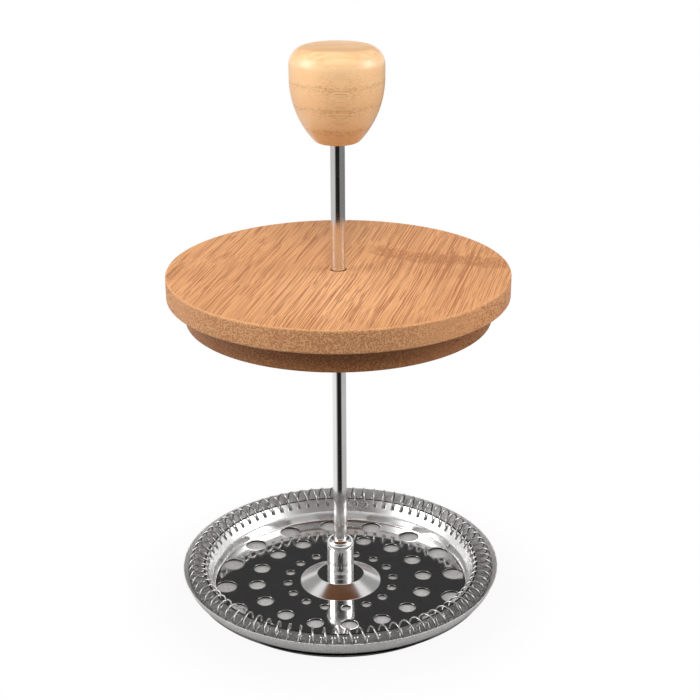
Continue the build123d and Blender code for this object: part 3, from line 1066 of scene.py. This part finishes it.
def dark_card(name, points, shade):
    """A dark sheet that only mirrors show.

    It lets through what lies behind it by 1 - shade; shade(place) gives the mask's socket.
    """
    material, tree, shader = new_material(name)
    feed(shader, {"Base Color": (0.012, 0.012, 0.012, 1.0), "Roughness": 1.0, "Specular IOR Level": 0.0})
    surface_mix(shade(coordinates(tree)["Object"]), add("BsdfTransparent", {}, tree), shader)
    card = stage_sheet(name, points, material)
    card.visible_camera = False
    card.visible_diffuse = False
    card.visible_shadow = False
    card.visible_transmission = False


def flat_ring(near, far, level):
    """Grid of a flat ring: point(u, v) = (v cos u, v sin u, level)."""
    turn, reach = np.meshgrid(np.linspace(0, 2 * pi, 97), np.linspace(near, far, 9))
    return polar(turn, reach, level)


def curved_sheet(radius, spread, low, high):
    """Upright sheet bent round the back: (r sin b, r cos b, z) over bearings b from the +Y axis."""
    bearing, level = np.meshgrid(np.linspace(-spread, spread, 41), (low, high))
    return np.stack([radius * np.sin(bearing), radius * np.cos(bearing), level], axis=-1)


def upright_sheet(width, low, high, distance):
    """Grid of an upright sheet that faces the Y axis."""
    x, z = np.meshgrid(np.linspace(-width / 2, width / 2, 5), np.linspace(low, high, 5))
    return np.stack([x, 0 * x + distance, z], axis=-1)


def front_shade(place):
    """Dark in front of the rod, fading to the left and to half on the right, and darker further out."""
    x, y, _ = parts(place)
    bearing = bearing_of(x, times(y, -1.0))
    far = between(off_axis(place), 0.22, 0.36)
    left = most(between(bearing, -1.15, -0.42), times(far, 0.35))
    right = most(between(bearing, 1.1, 0.38), scaled(far, 0.35, 0.42))
    return times(left, right)


def back_shade(place):
    """Dark at the back, half dark to its sides, fading further round and to the foot and the top."""
    x, y, z = parts(place)
    off = unsigned(bearing_of(x, y))
    wings = between(off, radians(80), radians(58), 0.0, 0.62)
    across = most(wings, between(off, radians(28), radians(13)))
    foot, top = between(z, 0.24, 0.35), between(z, 0.95, 0.75)
    return times(across, foot, top, 0.96)


def camera_shade(place):
    """Dark behind the camera, wider above, fading to the sides, the top and a foot lower in the middle."""
    x, _, z = parts(place)
    off = unsigned(x)
    spread = most(scaled(z, 1.9, -1.06), 0.0)
    across = between(minus(off, spread), 0.85, 0.22)
    foot = between(scaled(least(off, 0.5), -0.45, z), 0.27, 0.38)
    return times(across, foot, between(z, 1.25, 1.0), 0.95)


def soft_lamp(name, place, size, power):
    """A square soft lamp that looks at the middle of the object."""
    lamp = bpy.data.lights.new(name, "AREA")
    lamp.shape = "RECTANGLE"
    lamp.size = lamp.size_y = size
    lamp.energy = power
    holder = bpy.data.objects.new(name, lamp)
    holder.location = place
    middle = Vector((0.0, 0.0, 0.09))
    holder.rotation_euler = (middle - Vector(place)).to_track_quat("-Z", "Y").to_euler()
    bpy.context.scene.collection.objects.link(holder)
    return holder


class PRESS_OT_stage(bpy.types.Operator):
    """Camera, white room, floor, dark cards that shape the reflections, and soft lamps"""

    bl_idname = "french_press.stage"
    bl_label = "Stage"

    def execute(self, context):
        scene, stage = context.scene, context.scene.press_stage
        tilt, roll = stage.tilt, stage.roll
        forward = Vector((0.0, cos(tilt), -sin(tilt)))
        upward = Vector((sin(roll), sin(tilt) * cos(roll), cos(tilt) * cos(roll)))
        sideways = forward.cross(upward).normalized()
        upward = sideways.cross(forward)
        camera_data = bpy.data.cameras.new("camera")
        camera_data.lens = stage.lens
        camera_data.clip_start = 0.01
        camera = bpy.data.objects.new("camera", camera_data)
        turn = Matrix((sideways, upward, -forward)).transposed().to_4x4()
        camera.matrix_world = Matrix.Translation(Vector(stage.aim) - forward * stage.distance) @ turn
        scene.collection.objects.link(camera)
        scene.camera = camera
        scene.view_settings.view_transform = "Standard"

        # The room is white to the camera and to mirrors, and lights the rest by the sky's strength.
        world = bpy.data.worlds.new("white_room")
        world.use_nodes = True
        tree = world.node_tree
        height = parts(coordinates(tree)["Generated"])[2]
        low_sky = stage.sky * 0.3
        sky = between(height, -0.05, 0.8, low_sky, stage.sky)
        path = add("LightPath", {}, tree).outputs
        seen = most(path["Is Camera Ray"], path["Is Glossy Ray"], path["Is Transmission Ray"])
        room = {"Color": (1.0, 1.0, 1.0, 1.0), "Strength": most(seen, sky)}
        feed(tree.nodes["Background"], room)
        scene.world = world

        # The floor glows for the camera and for mirrors, less so in the object's own shade.
        material, tree, shader = new_material("pale_floor")
        feed(shader, {"Base Color": (*stage.floor_colour, 1.0), "Roughness": 0.9})
        reach = off_axis(coordinates(tree)["Object"])
        path = add("LightPath", {}, tree).outputs
        direct_shade, mirrored_shade = (0.049, 0.075), (0.046, 0.058)
        direct = times(path["Is Camera Ray"], between(reach, *direct_shade, 0.93, 0.995))
        mirrored = most(path["Is Glossy Ray"], path["Is Transmission Ray"])
        mirrored = times(mirrored, between(reach, *mirrored_shade, 0.0, 0.99))
        glow = add("Emission", {"Strength": 1.0}, tree)
        surface_mix(most(direct, mirrored), shader, glow)
        x, y = np.meshgrid(np.linspace(-4, 4, 5), np.linspace(-4, 4, 5))
        stage_sheet("floor", np.stack([x, y, 0 * x], axis=-1), material)
        dark_card("front_card", flat_ring(near=0.062, far=1.5, level=0.0004), front_shade)
        dark_card("back_card", curved_sheet(radius=0.78, spread=radians(82), low=0.2, high=1.2), back_shade)
        dark_card("camera_card", upright_sheet(width=2.4, low=0.25, high=1.3, distance=-0.9), camera_shade)

        soft_lamp("left_lamp", (-0.75, -0.12, 0.50), 0.5, stage.key_power)
        soft_lamp("right_lamp", (0.78, -0.05, 0.46), 0.45, stage.fill_power)
        soft_lamp("top_lamp", (0.0, -0.72, 0.95), 0.45, stage.top_power).visible_glossy = False
        return {"FINISHED"}


class PRESS_PT_panel(bpy.types.Panel):
    """Lists the sizes, the colours and the pieces"""

    bl_label = "French press"
    bl_idname = "PRESS_PT_panel"
    bl_space_type = "VIEW_3D"
    bl_region_type = "UI"
    bl_category = "French press"

    def draw(self, context):
        for group in (context.scene.press_wood, context.scene.press_steel, context.scene.press_stage):
            column = self.layout.column(align=True)
            for name in group.__annotations__:
                column.prop(group, name)
        for operator in operators:
            self.layout.operator(operator.bl_idname)


operators = (
    PRESS_OT_lid,
    PRESS_OT_knob,
    PRESS_OT_rod,
    PRESS_OT_plate,
    PRESS_OT_spring,
    PRESS_OT_mesh,
    PRESS_OT_fittings,
    PRESS_OT_stage,
)
classes = (PressWood, PressSteel, PressStage, *operators, PRESS_PT_panel)


def register():
    for one in classes:
        bpy.utils.register_class(one)
    bpy.types.Scene.press_wood = PointerProperty(type=PressWood)
    bpy.types.Scene.press_steel = PointerProperty(type=PressSteel)
    bpy.types.Scene.press_stage = PointerProperty(type=PressStage)


def unregister():
    del bpy.types.Scene.press_stage
    del bpy.types.Scene.press_steel
    del bpy.types.Scene.press_wood
    for one in reversed(classes):
        bpy.utils.unregister_class(one)


def main():
    register()
    bpy.ops.french_press.lid()
    bpy.ops.french_press.knob()
    bpy.ops.french_press.rod()
    bpy.ops.french_press.plate()
    bpy.ops.french_press.spring()
    bpy.ops.french_press.mesh()
    bpy.ops.french_press.fittings()
    bpy.ops.french_press.stage()


if __name__ == "__main__":
    main()
